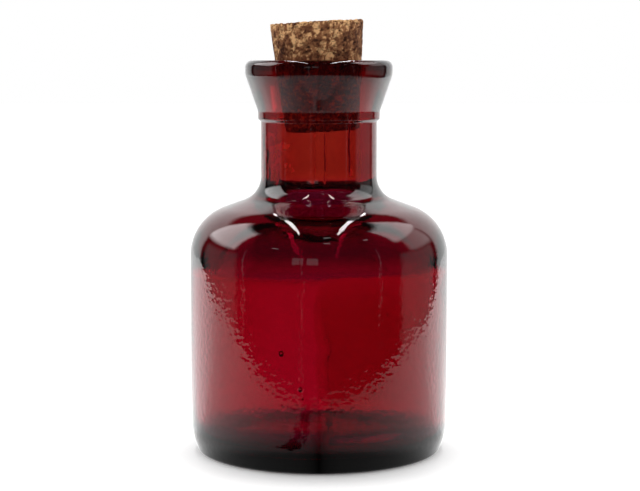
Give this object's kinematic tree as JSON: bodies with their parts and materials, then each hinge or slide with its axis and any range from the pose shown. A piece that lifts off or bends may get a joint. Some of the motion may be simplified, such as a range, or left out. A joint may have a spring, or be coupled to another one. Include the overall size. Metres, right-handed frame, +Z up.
{
  "type": "corked glass bottle",
  "caption": "Small round thick-walled bottle of deep red glass with a short flared neck, closed by a tapered cork stopper.",
  "frame": {"origin": "on the bottle's axis, in the plane of the foot ring that it stands on", "axes": "+Z up the bottle's axis; the cork leans towards -X, and -Y is the front"},
  "size_m": [0.08, 0.08, 0.1339],
  "materials": {
    "red_glass": "gloss",
    "cork": "matte"
  },
  "bodies": {
    "root": {"bottle": "red_glass", "cork": "cork"}
  },
  "joints": []
}
